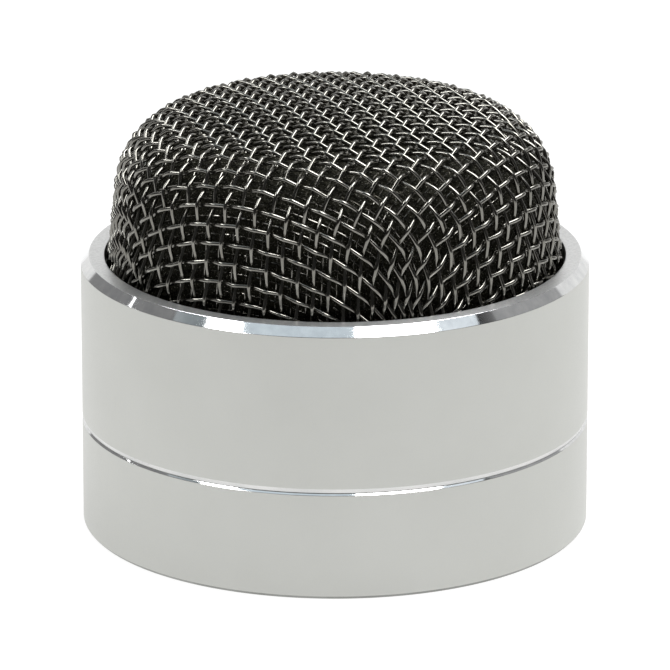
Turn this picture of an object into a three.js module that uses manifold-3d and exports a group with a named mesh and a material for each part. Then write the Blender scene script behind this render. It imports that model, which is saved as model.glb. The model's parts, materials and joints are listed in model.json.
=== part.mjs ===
// Car tweeter pod: a 25 mm soft dome driver in a two-piece turned aluminium housing with a domed wire grille.
// Millimetres, +Z up, origin at the centre of the base. The front of the pod faces -Y and the cable inlet is
// at +Y.
import * as THREE from 'three';
import { mergeVertices } from 'three/addons/utils/BufferGeometryUtils.js';
import Module from 'manifold-3d';

// Driving dimensions of the housing.
const BODY_R = 25;
const SPLIT_Z = 10.73;
const SHELL_GAP = 0.05;
const BODY_TOP = 27.3;
const LIP_Z = 24.8;
const LIP_R = 22.65;
const BORE_R = 23.45;
const LOWER_BORE_R = 24;
const TOP_CHAMFER_R = 0.8;
const TOP_CHAMFER_Z = 0.87;
const SPLIT_BEVEL_R = 0.15;
const SPLIT_BEVEL_Z = 0.42;
const SPLIT_CHAMFER_LOWER = 0.18;
const BASE_EDGE = 0.3;
const SPIGOT_R = 23.85;
const CUP_INNER_R = 21.2;
const SEAT_Z = 20;
const FLOOR_BOTTOM = 0.6;
const FLOOR_TOP = 2.4;
const PAD_RECESS_R = 19.6;
const O_RING_R = 0.45;
const O_RING_Z = 12.1;
const SNAP_Z = 22.2;
const SNAP_HEIGHT = 0.7;

// The grille: a draughted wall, a shoulder fillet and a shallow crown.
const APEX_Z = 42.74;
const CROWN_R = 94;
const SHOULDER_R = 7.9;
const WALL_TOP_R = 22.45;
const WALL_DRAFT = 0.102;
const MESH_THICKNESS = 0.8;
const MESH_FLANGE_R = 23.2;
const MESH_FLANGE_Z = 24.35;
const MESH_FLANGE_T = 0.4;
const CLAMP_INNER_R = 20.5;
const GASKET_INNER_R = 18.2;
const GASKET_OUTER_R = 22.6;
const LINER_GAP = 0.15;
const LINER_T = 0.6;

// The driver.
const DOME_R = 12.75;
const DOME_RISE = 5.2;
const DOME_T = 0.35;
const FRAME_T = 2;
const FRAME_TOP = SEAT_Z + FRAME_T;
const FRAME_INNER_R = 15;
const FRAME_OUTER_R = 22.9;
const MOTOR_R = 16.2;
const GAP_OUTER_R = 13.5;
const YOKE_Z = 9.5;
const YOKE_FLOOR_T = 2.5;
const PLATE_Z = 16.5;
const POLE_R = 12.05;
const MAGNET_R = 11.4;
const FORMER = { inner: 12.55, outer: 12.7, bottom: 15.6 };
const WINDING = { inner: 12.74, outer: 13.15, bottom: 16.6, top: 20.4 };
const COPPER_CAP_T = 0.2;
const COPPER_CAP_HOLE_R = 3;
const FELT_R = 9;
const FELT_T = 1.5;

// Screws and the three pillars that the driver stands on.
const PILLAR_PITCH_R = 19.2;
const PILLAR_R = 2.2;
const PILLAR_ANGLES = [90, 210, 330];
const SCREW_SHANK_R = 0.8;
const SCREW_HEAD_R = 1.85;
const SCREW_CLEARANCE = 0.08;
const SOCKET_R = 0.75;
const SOCKET_DEPTH = 0.65;
const DRIVER_SCREW_LENGTH = 7;
const BOARD_SCREW_LENGTH = 3;

// Crossover board, cable inlet and stud insert in the floor.
const BOARD = { halfWidth: 11, front: -16, back: -5, bottom: 3, top: 4.2, corner: 1.5 };
const BOARD_SCREW = { x: 8.6, y: -7.2 };
const CAPACITOR = { r: 2.5, length: 10.5, y: -12.6 };
const TAB_X = 3.2;
const INLET_Y = 12;
const INLET_R = 2.6;
const INSERT_R = 2.9;
const LEAD_R = 0.45;
const LEAD_HOLE = { x: 3, y: -17.2, r: 0.7 };

const SHELL_SEGMENTS = 48;
const INNER_SEGMENTS = 32;
const SMALL_SEGMENTS = 16;

const wasm = await Module();
wasm.setup();

const MATERIALS = {
  aluminium: finish(0xc6c6c2, 0.38, 1),
  meshWire: finish(0x24221f, 0.3, 0.9),
  foam: finish(0x0c0c0d, 0.95, 0),
  rubber: finish(0x141414, 0.7, 0),
  blackPlastic: finish(0x1b1c1e, 0.5, 0),
  silk: finish(0x2a2a2e, 0.75, 0),
  former: finish(0xb8782c, 0.45, 0),
  copper: finish(0xb87333, 0.3, 1),
  steel: finish(0xb9bcc0, 0.35, 1),
  magnet: finish(0xd2d2cf, 0.22, 1),
  felt: finish(0x8a8a86, 0.95, 0),
  board: finish(0x6f5a2c, 0.6, 0),
  capacitorSleeve: finish(0x1d2f6b, 0.4, 0),
  brass: finish(0xc9a24a, 0.3, 1),
  redWire: finish(0xa01818, 0.5, 0),
  blackWire: finish(0x151515, 0.5, 0),
  screw: finish(0x2c2c2e, 0.4, 0.9),
};

function finish(color, roughness, metalness) {
  return new THREE.MeshStandardMaterial({ color, roughness, metalness });
}

// A body of revolution about Z. The outline is [radius, z] points, anticlockwise with radius to the right. It
// closes on itself, unless it starts and ends on the axis.
function turned(outline, segments) {
  const points = outline.map(([r, z]) => new THREE.Vector2(r, z));
  const startsOnAxis = outline[0][0] === 0;
  if (!startsOnAxis) {
    points.push(points[0].clone());
  }
  return new THREE.LatheGeometry(points, segments).rotateX(Math.PI / 2);
}

function ring(innerR, outerR, bottom, top, segments) {
  return turned([[innerR, bottom], [outerR, bottom], [outerR, top], [innerR, top]], segments);
}

function disc(r, bottom, top, segments) {
  return turned([[0, bottom], [r, bottom], [r, top], [0, top]], segments);
}

// Points of a circular arc in the outline's plane, angles in radians from the +radius direction.
function arc(centreR, centreZ, radius, from, to, steps) {
  const points = [];
  for (let i = 0; i <= steps; i += 1) {
    const angle = from + ((to - from) * i) / steps;
    points.push([centreR + radius * Math.cos(angle), centreZ + radius * Math.sin(angle)]);
  }
  return points;
}

function toSolid(geometry) {
  const bare = geometry.clone();
  bare.deleteAttribute('normal');
  bare.deleteAttribute('uv');
  const merged = mergeVertices(bare, 1e-3);
  return new wasm.Manifold(
    new wasm.Mesh({
      numProp: 3,
      vertProperties: merged.attributes.position.array,
      triVerts: new Uint32Array(merged.index.array),
    }),
  );
}

function toGeometry(solid) {
  const mesh = solid.getMesh();
  const geometry = new THREE.BufferGeometry();
  geometry.setAttribute('position', new THREE.BufferAttribute(new Float32Array(mesh.vertProperties), 3));
  geometry.setIndex(new THREE.BufferAttribute(new Uint32Array(mesh.triVerts), 1));
  geometry.computeVertexNormals();
  return geometry;
}

function join(first, ...others) {
  return toGeometry(others.reduce((solid, other) => solid.add(toSolid(other)), toSolid(first)));
}

function cut(first, ...tools) {
  return toGeometry(tools.reduce((solid, tool) => solid.subtract(toSolid(tool)), toSolid(first)));
}

function onCircle(pitchR, degrees) {
  const angle = THREE.MathUtils.degToRad(degrees);
  return { x: pitchR * Math.cos(angle), y: pitchR * Math.sin(angle) };
}

const PILLARS = PILLAR_ANGLES.map((degrees) => onCircle(PILLAR_PITCH_R, degrees));

// Base cup: floor, visible wall, seal groove, spigot without its thread, pillars for the driver and board.
function baseCup() {
  const shoulder = SPLIT_Z;
  const screwHoleDepth = 6;
  const boreR = SCREW_SHANK_R + SCREW_CLEARANCE;
  const grooveR = SPIGOT_R - 2 * O_RING_R - 0.02;
  const grooveHalf = O_RING_R + 0.1;
  const shell = turned(
    [
      [0, FLOOR_BOTTOM],
      [PAD_RECESS_R, FLOOR_BOTTOM],
      [PAD_RECESS_R, 0],
      [BODY_R - BASE_EDGE, 0],
      [BODY_R, BASE_EDGE],
      [BODY_R, shoulder - SPLIT_CHAMFER_LOWER],
      [BODY_R - SPLIT_CHAMFER_LOWER, shoulder],
      [SPIGOT_R, shoulder],
      [SPIGOT_R, O_RING_Z - grooveHalf],
      [grooveR, O_RING_Z - grooveHalf],
      [grooveR, O_RING_Z + grooveHalf],
      [SPIGOT_R, O_RING_Z + grooveHalf],
      [SPIGOT_R, SEAT_Z],
      [CUP_INNER_R, SEAT_Z],
      [CUP_INNER_R, FLOOR_TOP],
      [0, FLOOR_TOP],
    ],
    SHELL_SEGMENTS,
  );
  const pillars = PILLARS.map(({ x, y }) =>
    disc(PILLAR_R, FLOOR_TOP - 0.5, SEAT_Z, SMALL_SEGMENTS).translate(x, y, 0));
  const bosses = [-1, 1].map((side) =>
    disc(PILLAR_R, FLOOR_TOP - 0.5, BOARD.bottom - 0.05, SMALL_SEGMENTS)
      .translate(side * BOARD_SCREW.x, BOARD_SCREW.y, 0));
  const pillarHoles = PILLARS.map(({ x, y }) =>
    disc(boreR, SEAT_Z - screwHoleDepth, SEAT_Z + 1, SMALL_SEGMENTS).translate(x, y, 0));
  const bossHoles = [-1, 1].map((side) =>
    disc(boreR, FLOOR_BOTTOM + 0.5, BOARD.top, SMALL_SEGMENTS)
      .translate(side * BOARD_SCREW.x, BOARD_SCREW.y, 0));
  const inletHole = disc(INLET_R, -1, FLOOR_TOP + 1, SMALL_SEGMENTS).translate(0, INLET_Y, 0);
  const insertHole = disc(INSERT_R + 0.05, -1, FLOOR_TOP + 1, SMALL_SEGMENTS);
  const body = join(shell, ...pillars, ...bosses);
  return cut(body, ...pillarHoles, ...bossHoles, inletHole, insertHole);
}

// Front housing: the upper shell with its lip, top chamfer and snap ring groove.
function frontHousing() {
  const bottom = SPLIT_Z + SHELL_GAP;
  const grooveR = BORE_R + 0.45;
  return turned(
    [
      [LOWER_BORE_R, bottom],
      [BODY_R - SPLIT_BEVEL_R, bottom],
      [BODY_R, bottom + SPLIT_BEVEL_Z],
      [BODY_R, BODY_TOP - TOP_CHAMFER_Z],
      [BODY_R - TOP_CHAMFER_R, BODY_TOP],
      [LIP_R, BODY_TOP],
      [LIP_R, LIP_Z],
      [BORE_R, LIP_Z],
      [BORE_R, SNAP_Z + SNAP_HEIGHT],
      [grooveR, SNAP_Z + SNAP_HEIGHT],
      [grooveR, SNAP_Z],
      [BORE_R, SNAP_Z],
      [BORE_R, SEAT_Z + 0.1],
      [LOWER_BORE_R, SEAT_Z + 0.1],
    ],
    SHELL_SEGMENTS,
  );
}

function housingORing() {
  const section = arc(SPIGOT_R - O_RING_R + 0.05, O_RING_Z, O_RING_R, 0, 2 * Math.PI, 6).slice(0, -1);
  return turned(section, SHELL_SEGMENTS);
}

// The dome's outline from the wall's foot to the apex, moved inwards by inset. The shoulder's circle touches
// the drafted wall and the crown's circle, which fixes its centre.
function domeOutline(inset, footZ, shoulderSteps, crownSteps) {
  const slope = Math.hypot(1, WALL_DRAFT);
  const up = { r: -WALL_DRAFT / slope, z: 1 / slope };
  const inwards = { r: -1 / slope, z: -WALL_DRAFT / slope };
  const crownZ = APEX_Z - CROWN_R;
  const reach = CROWN_R - SHOULDER_R;
  const start = { r: WALL_TOP_R + SHOULDER_R * inwards.r, z: BODY_TOP + SHOULDER_R * inwards.z - crownZ };
  const along = start.r * up.r + start.z * up.z;
  const t = -along + Math.sqrt(along * along - (start.r ** 2 + start.z ** 2 - reach ** 2));
  const shoulder = { r: start.r + t * up.r, z: start.z + t * up.z + crownZ };
  const wallAngle = Math.atan2(-inwards.z, -inwards.r);
  const crownAngle = Math.atan2(shoulder.z - crownZ, shoulder.r);
  const foot = [[WALL_TOP_R - inset, footZ], [WALL_TOP_R - inset, BODY_TOP]];
  const bend = arc(shoulder.r, shoulder.z, SHOULDER_R - inset, wallAngle, crownAngle, shoulderSteps);
  const crown = arc(0, crownZ, CROWN_R - inset, crownAngle, Math.PI / 2, crownSteps).slice(1, -1);
  return [...foot, ...bend, ...crown, [0, APEX_Z - inset]];
}

// Wire grille as a shell of the woven cloth's full thickness, with the flange that the lip holds.
function meshGrille() {
  const outer = domeOutline(0, MESH_FLANGE_Z + MESH_FLANGE_T, 5, 3);
  const inner = domeOutline(MESH_THICKNESS, MESH_FLANGE_Z, 5, 3).reverse();
  const flange = [[MESH_FLANGE_R, MESH_FLANGE_Z], [MESH_FLANGE_R, MESH_FLANGE_Z + MESH_FLANGE_T]];
  return turned([...inner, ...flange, ...outer], SHELL_SEGMENTS);
}

function grilleLiner() {
  const inset = MESH_THICKNESS + LINER_GAP;
  const outer = domeOutline(inset, MESH_FLANGE_Z, 4, 2);
  const inner = domeOutline(inset + LINER_T, MESH_FLANGE_Z, 4, 2).reverse();
  return turned([...inner, ...outer], INNER_SEGMENTS);
}

// Split ring that snaps into the groove of the upper shell and holds the grille up against the lip.
function snapRing() {
  const play = 0.05;
  const gapWidth = 3;
  const bottom = SNAP_Z + play;
  const top = SNAP_Z + SNAP_HEIGHT - play;
  const gap = new THREE.BoxGeometry(gapWidth, 6, 4).translate(0, BORE_R, SNAP_Z);
  return cut(ring(BORE_R - 0.45, BORE_R + 0.35, bottom, top, SHELL_SEGMENTS), gap);
}

function grilleClampRing() {
  const bottom = SNAP_Z + SNAP_HEIGHT + 0.05;
  return ring(CLAMP_INNER_R, MESH_FLANGE_R + 0.05, bottom, MESH_FLANGE_Z - 0.05, SHELL_SEGMENTS);
}

function frontGasket() {
  return ring(GASKET_INNER_R, GASKET_OUTER_R, FRAME_TOP + 0.05, SNAP_Z + SNAP_HEIGHT, SHELL_SEGMENTS);
}

function countersunkScrew(length) {
  const neck = SCREW_HEAD_R - SCREW_SHANK_R;
  const body = turned(
    [
      [0, -length],
      [SCREW_SHANK_R - 0.3, -length],
      [SCREW_SHANK_R, 0.3 - length],
      [SCREW_SHANK_R, -neck],
      [SCREW_HEAD_R, 0],
      [0, 0],
    ],
    SMALL_SEGMENTS,
  );
  return cut(body, hexSocket(0));
}

function panScrew(length) {
  const headHeight = 1.1;
  const body = turned(
    [
      [0, -length],
      [SCREW_SHANK_R - 0.2, -length],
      [SCREW_SHANK_R, 0.2 - length],
      [SCREW_SHANK_R, 0],
      [SCREW_HEAD_R - 0.1, 0],
      [SCREW_HEAD_R - 0.1, headHeight - 0.4],
      [SCREW_HEAD_R - 0.5, headHeight],
      [0, headHeight],
    ],
    SMALL_SEGMENTS,
  );
  return cut(body, hexSocket(headHeight));
}

function hexSocket(top) {
  return disc(SOCKET_R, top - SOCKET_DEPTH, top + 1, 6);
}

// Face plate of the driver with countersunk holes and two holes for the lead wires.
function driverFrame() {
  const plate = turned(
    [
      [FRAME_INNER_R, SEAT_Z + 0.05],
      [FRAME_OUTER_R, SEAT_Z + 0.05],
      [FRAME_OUTER_R, FRAME_TOP - 0.3],
      [FRAME_OUTER_R - 0.3, FRAME_TOP],
      [FRAME_INNER_R + 0.3, FRAME_TOP],
      [FRAME_INNER_R, FRAME_TOP - 0.3],
    ],
    SHELL_SEGMENTS,
  );
  const neck = SCREW_HEAD_R - SCREW_SHANK_R;
  const clearance = SCREW_CLEARANCE;
  const screwHoles = PILLARS.map(({ x, y }) =>
    turned(
      [
        [0, -FRAME_T - 1],
        [SCREW_SHANK_R + clearance, -FRAME_T - 1],
        [SCREW_SHANK_R + clearance, -neck],
        [SCREW_HEAD_R + clearance, 0],
        [SCREW_HEAD_R + clearance, 1],
        [0, 1],
      ],
      SMALL_SEGMENTS,
    ).translate(x, y, FRAME_TOP));
  const leadHoles = [-1, 1].map((side) =>
    disc(LEAD_HOLE.r, SEAT_Z - 1, FRAME_TOP + 1, 12).translate(side * LEAD_HOLE.x, LEAD_HOLE.y, 0));
  return cut(plate, ...screwHoles, ...leadHoles);
}

// Half-roll surround with an inner land glued to the dome and an outer land glued to the frame.
function surround() {
  const bottom = FRAME_TOP + 0.05;
  const thickness = 0.3;
  const innerLand = 0.08;
  const outerLand = 1.4;
  const rollCentreR = (DOME_R + FRAME_INNER_R) / 2 + 0.45;
  const rollOuter = 1.2;
  const rollInner = rollOuter - thickness;
  const outside = arc(rollCentreR, bottom + thickness, rollOuter, 0, Math.PI, 6);
  const inside = arc(rollCentreR, bottom, rollInner, Math.PI, 0, 6);
  return turned(
    [
      ...inside,
      [FRAME_INNER_R + outerLand, bottom],
      [FRAME_INNER_R + outerLand, bottom + thickness],
      ...outside,
      [DOME_R + innerLand, bottom + thickness],
      [DOME_R + innerLand, bottom],
    ],
    INNER_SEGMENTS,
  );
}

function silkDome() {
  const rim = FRAME_TOP + 0.02;
  const curve = (DOME_R ** 2 + DOME_RISE ** 2) / (2 * DOME_RISE);
  const centreZ = rim + DOME_RISE - curve;
  const edge = Math.asin((rim - centreZ) / curve);
  const innerEdge = Math.asin((rim - centreZ) / (curve - DOME_T));
  const outside = arc(0, centreZ, curve, edge, Math.PI / 2, 6).slice(0, -1);
  const inside = arc(0, centreZ, curve - DOME_T, Math.PI / 2, innerEdge, 6).slice(1);
  const apex = centreZ + curve;
  return turned([[0, apex - DOME_T], ...inside, ...outside, [0, apex]], INNER_SEGMENTS);
}

function voiceCoilFormer() {
  return ring(FORMER.inner, FORMER.outer, FORMER.bottom, FRAME_TOP, INNER_SEGMENTS);
}

function voiceCoilWinding() {
  return ring(WINDING.inner, WINDING.outer, WINDING.bottom, WINDING.top, INNER_SEGMENTS);
}

// Drawn cap over the pole, open in the middle, that stops eddy currents in the steel.
function copperCap() {
  const inside = POLE_R + 0.05;
  const outside = inside + COPPER_CAP_T;
  const underside = SEAT_Z + 0.05;
  const top = underside + COPPER_CAP_T;
  const skirt = PLATE_Z + 0.1;
  return turned(
    [
      [inside, skirt],
      [outside, skirt],
      [outside, top],
      [COPPER_CAP_HOLE_R, top],
      [COPPER_CAP_HOLE_R, underside],
      [inside, underside],
    ],
    INNER_SEGMENTS,
  );
}

function polePlate() {
  return disc(POLE_R, PLATE_Z + 0.02, SEAT_Z, INNER_SEGMENTS);
}

function magnet() {
  const bottom = YOKE_Z + YOKE_FLOOR_T + 0.02;
  const edge = 0.3;
  return turned(
    [
      [0, bottom],
      [MAGNET_R - edge, bottom],
      [MAGNET_R, bottom + edge],
      [MAGNET_R, PLATE_Z - edge],
      [MAGNET_R - edge, PLATE_Z],
      [0, PLATE_Z],
    ],
    INNER_SEGMENTS,
  );
}

function yokeCup() {
  const wallR = 14.2;
  const edge = 0.6;
  return turned(
    [
      [0, YOKE_Z],
      [MOTOR_R - edge, YOKE_Z],
      [MOTOR_R, YOKE_Z + edge],
      [MOTOR_R, PLATE_Z],
      [wallR, PLATE_Z],
      [wallR, YOKE_Z + YOKE_FLOOR_T],
      [0, YOKE_Z + YOKE_FLOOR_T],
    ],
    INNER_SEGMENTS,
  );
}

function topPlate() {
  return ring(GAP_OUTER_R, MOTOR_R, PLATE_Z + 0.02, SEAT_Z, INNER_SEGMENTS);
}

// Felt disc that damps the air under the dome.
function feltDamper() {
  const bottom = SEAT_Z + 0.3;
  const top = bottom + FELT_T;
  const edge = 0.4;
  return turned(
    [[0, bottom], [FELT_R, bottom], [FELT_R, top - edge], [FELT_R - edge, top], [0, top]],
    INNER_SEGMENTS,
  );
}

function roundedPlate(halfWidth, front, back, corner) {
  const shape = new THREE.Shape();
  shape.moveTo(-halfWidth + corner, front);
  shape.lineTo(halfWidth - corner, front);
  shape.absarc(halfWidth - corner, front + corner, corner, -Math.PI / 2, 0);
  shape.lineTo(halfWidth, back - corner);
  shape.absarc(halfWidth - corner, back - corner, corner, 0, Math.PI / 2);
  shape.lineTo(-halfWidth + corner, back);
  shape.absarc(-halfWidth + corner, back - corner, corner, Math.PI / 2, Math.PI);
  shape.lineTo(-halfWidth, front + corner);
  shape.absarc(-halfWidth + corner, front + corner, corner, Math.PI, 1.5 * Math.PI);
  return shape;
}

function crossoverBoard() {
  const shape = roundedPlate(BOARD.halfWidth, BOARD.front, BOARD.back, BOARD.corner);
  for (const side of [-1, 1]) {
    const hole = new THREE.Path();
    hole.absarc(side * BOARD_SCREW.x, BOARD_SCREW.y, SCREW_SHANK_R + 0.15, 0, 2 * Math.PI, true);
    shape.holes.push(hole);
  }
  const depth = BOARD.top - BOARD.bottom;
  return new THREE.ExtrudeGeometry(shape, { depth, bevelEnabled: false, curveSegments: 6 })
    .translate(0, 0, BOARD.bottom);
}

// Axial capacitor lying along X, with its two leads bent down to the board.
function crossoverCapacitor() {
  const { r, length, y } = CAPACITOR;
  const half = length / 2;
  const leadR = 0.3;
  const z = BOARD.top + r + 0.08;
  const can = turned(
    [
      [0, -half],
      [r - 0.35, -half],
      [r, 0.35 - half],
      [r, half - 1.4],
      [r - 0.25, half - 1.15],
      [r, half - 0.9],
      [r, half - 0.35],
      [r - 0.35, half],
      [0, half],
    ],
    SMALL_SEGMENTS,
  ).rotateY(Math.PI / 2).translate(0, y, z);
  const leads = [-1, 1].map((side) => {
    const route = new THREE.CatmullRomCurve3([
      new THREE.Vector3(side * (half - 0.5), y, z),
      new THREE.Vector3(side * (half + 0.7), y, z),
      new THREE.Vector3(side * (half + 1.3), y, z - 0.7),
      new THREE.Vector3(side * (half + 1.3), y, BOARD.top + 0.06),
    ]);
    return wire(route, leadR, 6, 6);
  });
  return join(can, ...leads);
}

// A round wire along a curve, with flat ends.
function wire(route, radius, steps, sides) {
  const section = new THREE.Shape();
  section.absarc(0, 0, radius, 0, 2 * Math.PI);
  return new THREE.ExtrudeGeometry(section, { extrudePath: route, steps, curveSegments: sides / 2 });
}

// Solder tab: an L of sheet brass standing on the board.
function terminalTab(side) {
  const width = 1.8;
  const sheet = 0.4;
  const foot = 1.8;
  const height = 3;
  const shape = new THREE.Shape([
    new THREE.Vector2(0, 0),
    new THREE.Vector2(foot, 0),
    new THREE.Vector2(foot, sheet),
    new THREE.Vector2(sheet, sheet),
    new THREE.Vector2(sheet, height),
    new THREE.Vector2(0, height),
  ]);
  return new THREE.ExtrudeGeometry(shape, { depth: width, bevelEnabled: false })
    .rotateX(Math.PI / 2)
    .rotateZ(-Math.PI / 2)
    .translate(side * TAB_X + width / 2, BOARD_SCREW.y + 0.6, BOARD.top + 0.05);
}

// Hook-up wire from the board, up beside the motor and through the frame to its solder point.
function leadWire(side) {
  const route = new THREE.CatmullRomCurve3([
    new THREE.Vector3(side * 9, -14.2, BOARD.top + LEAD_R + 0.1),
    new THREE.Vector3(side * 8.4, -15.4, BOARD.top + 2),
    new THREE.Vector3(side * 6.2, -17.4, 9),
    new THREE.Vector3(side * 3.6, -18.2, 14),
    new THREE.Vector3(side * LEAD_HOLE.x, -17.7, 18),
    new THREE.Vector3(side * LEAD_HOLE.x, LEAD_HOLE.y, SEAT_Z + 0.3),
    new THREE.Vector3(side * LEAD_HOLE.x, LEAD_HOLE.y, FRAME_TOP + 0.3),
  ]);
  return wire(route, LEAD_R, 14, 8);
}

function cableGrommet() {
  const bore = 1.3;
  const flangeR = INLET_R + 0.8;
  const waistR = INLET_R - 0.05;
  return turned(
    [
      [bore, 0.1],
      [flangeR, 0.1],
      [flangeR, FLOOR_BOTTOM - 0.05],
      [waistR, FLOOR_BOTTOM - 0.05],
      [waistR, FLOOR_TOP + 0.05],
      [flangeR, FLOOR_TOP + 0.05],
      [flangeR, FLOOR_TOP + 0.7],
      [bore + 0.7, FLOOR_TOP + 1.4],
      [bore, FLOOR_TOP + 1.4],
    ],
    SMALL_SEGMENTS,
  ).translate(0, INLET_Y, 0);
}

// Flanged brass insert, put in from inside the cup so that the flange takes the pull.
function studInsert() {
  const bore = 1.65;
  const flangeR = 3.9;
  return turned(
    [
      [bore, FLOOR_BOTTOM],
      [INSERT_R, FLOOR_BOTTOM],
      [INSERT_R, FLOOR_TOP + 0.05],
      [flangeR, FLOOR_TOP + 0.05],
      [flangeR, FLOOR_TOP + 0.9],
      [bore, FLOOR_TOP + 0.9],
    ],
    SMALL_SEGMENTS,
  );
}

// Foam pad in the recess of the base, cut away round the stud insert and the cable inlet.
function mountingPad() {
  const studHoleR = 5;
  const edgeGap = 0.3;
  const inletGap = 1.1;
  const plate = ring(studHoleR, PAD_RECESS_R - edgeGap, 0, FLOOR_BOTTOM - 0.02, SHELL_SEGMENTS);
  const inlet = disc(INLET_R + inletGap, -1, 1, SMALL_SEGMENTS).translate(0, INLET_Y, 0);
  return cut(plate, inlet);
}

const tweeter = new THREE.Group();

function add(name, geometry, material) {
  const mesh = new THREE.Mesh(geometry, material.clone());
  mesh.name = name;
  tweeter.add(mesh);
  return mesh;
}

add('base_cup', baseCup(), MATERIALS.aluminium);
add('front_housing', frontHousing(), MATERIALS.aluminium);
add('housing_o_ring', housingORing(), MATERIALS.rubber);
add('snap_ring', snapRing(), MATERIALS.steel);
add('mesh_grille', meshGrille(), MATERIALS.meshWire);
add('grille_liner', grilleLiner(), MATERIALS.foam);
add('grille_clamp_ring', grilleClampRing(), MATERIALS.blackPlastic);
add('front_gasket', frontGasket(), MATERIALS.foam);

add('driver_frame', driverFrame(), MATERIALS.blackPlastic);
add('surround', surround(), MATERIALS.silk);
add('silk_dome', silkDome(), MATERIALS.silk);
add('voice_coil_former', voiceCoilFormer(), MATERIALS.former);
add('voice_coil_winding', voiceCoilWinding(), MATERIALS.copper);
add('copper_cap', copperCap(), MATERIALS.copper);
add('pole_plate', polePlate(), MATERIALS.steel);
add('magnet', magnet(), MATERIALS.magnet);
add('yoke_cup', yokeCup(), MATERIALS.steel);
add('top_plate', topPlate(), MATERIALS.steel);
add('felt_damper', feltDamper(), MATERIALS.felt);
PILLARS.forEach(({ x, y }, i) => {
  add(`driver_screw_${i + 1}`, countersunkScrew(DRIVER_SCREW_LENGTH), MATERIALS.screw)
    .position.set(x, y, FRAME_TOP - 0.05);
});

add('crossover_board', crossoverBoard(), MATERIALS.board);
add('crossover_capacitor', crossoverCapacitor(), MATERIALS.capacitorSleeve);
add('terminal_tab_positive', terminalTab(1), MATERIALS.brass);
add('terminal_tab_negative', terminalTab(-1), MATERIALS.brass);
[-1, 1].forEach((side, i) => {
  add(`board_screw_${i + 1}`, panScrew(BOARD_SCREW_LENGTH), MATERIALS.screw)
    .position.set(side * BOARD_SCREW.x, BOARD_SCREW.y, BOARD.top + 0.05);
});
add('lead_wire_positive', leadWire(1), MATERIALS.redWire);
add('lead_wire_negative', leadWire(-1), MATERIALS.blackWire);
add('cable_grommet', cableGrommet(), MATERIALS.rubber);
add('stud_insert', studInsert(), MATERIALS.brass);
add('mounting_pad', mountingPad(), MATERIALS.foam);

export default tweeter;
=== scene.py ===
import json
import math
import random

import bpy
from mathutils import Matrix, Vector, noise


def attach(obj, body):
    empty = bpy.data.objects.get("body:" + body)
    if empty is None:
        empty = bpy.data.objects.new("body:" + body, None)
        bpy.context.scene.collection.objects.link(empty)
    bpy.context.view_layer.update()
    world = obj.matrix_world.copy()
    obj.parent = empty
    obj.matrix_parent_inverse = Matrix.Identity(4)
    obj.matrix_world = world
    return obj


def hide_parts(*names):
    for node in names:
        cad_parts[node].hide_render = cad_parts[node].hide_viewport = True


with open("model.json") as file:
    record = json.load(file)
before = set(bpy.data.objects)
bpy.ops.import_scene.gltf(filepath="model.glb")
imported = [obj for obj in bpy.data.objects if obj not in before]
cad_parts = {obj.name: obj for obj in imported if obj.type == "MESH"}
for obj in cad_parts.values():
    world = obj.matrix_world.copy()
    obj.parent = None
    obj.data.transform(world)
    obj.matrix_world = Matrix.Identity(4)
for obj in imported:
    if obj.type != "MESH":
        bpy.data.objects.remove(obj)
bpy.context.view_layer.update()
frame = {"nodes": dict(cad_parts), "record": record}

MM = 0.001

# Housing, in millimetres, as in the CAD model.
BODY_R = 25.0
SPLIT_Z = 10.73
SHELL_GAP = 0.05
BODY_TOP = 27.3
LIP_Z = 24.8
LIP_R = 22.65
LIP_TAPER = 0.1  # the lip's bore widens downwards, to clear the drafted weave
BORE_R = 23.45
LOWER_BORE_R = 24.0
TOP_CHAMFER_R = 0.8
TOP_CHAMFER_Z = 0.87
SPLIT_BEVEL_R = 0.15
SPLIT_BEVEL_Z = 0.42
LOWER_SPLIT_CHAMFER = 0.18
BASE_EDGE = 0.3
SPIGOT_R = 23.85
CUP_INNER_R = 21.2
SEAT_Z = 20.0
FLOOR_BOTTOM = 0.6
FLOOR_TOP = 2.4
PAD_RECESS_R = 19.6
O_RING_R = 0.45
O_RING_Z = 12.1
O_RING_SUNK = 0.02
O_RING_SIDE_GAP = 0.1
SNAP_Z = 22.2
SNAP_HEIGHT = 0.7
SNAP_GROOVE_DEPTH = 0.45
STEP_CLEARANCE = 0.1  # between the top of the spigot and the step in the bore
INNER_CHAMFER = 0.25
CRISP = 0.02  # fillet of a cut edge that should look sharp
EASED = 0.05  # fillet of an ordinary turned edge

PILLAR_PITCH_R = 19.2
PILLAR_R = 2.2
PILLAR_ANGLES = (90, 210, 330)
SCREW_HOLE_R = 0.88
SCREW_HOLE_DEPTH = 6.0
PILLAR_EASE = 0.2
BOSS = (8.6, -7.2)
BOSS_TOP = 2.95
BOSS_EASE = 0.15
BOSS_HOLE_FLOOR = 0.5
POST_ROOT = 0.5  # how far a pillar or boss starts below the top of the floor
CUTTER_OVERRUN = 1.0
INLET_Y = 12.0
INLET_R = 2.6
INSERT_HOLE_R = 2.95

# Housing thread.
THREAD_PITCH = 1.0
THREAD_BOTTOM = 15.5
THREAD_DEPTH = 0.53
THREAD_ROWS = 14  # rows of mesh to a pitch
THREAD_FLATNESS = 1.25
THREAD_RUNOUT = 0.5
THREAD_LEAD_IN = 0.12  # how far the spigot's end chamfer goes below the root

# Grille.
APEX_Z = 42.74
CROWN_R = 94.0
SHOULDER_R = 7.9
WALL_TOP_R = 22.45
WALL_DRAFT = 0.102
MESH_FOOT_Z = 24.75
MESH_FLANGE_R = 23.2
MESH_FLANGE_Z = 24.35
CLOTH_T = 0.8
RIM_FILLET = 0.08

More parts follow.
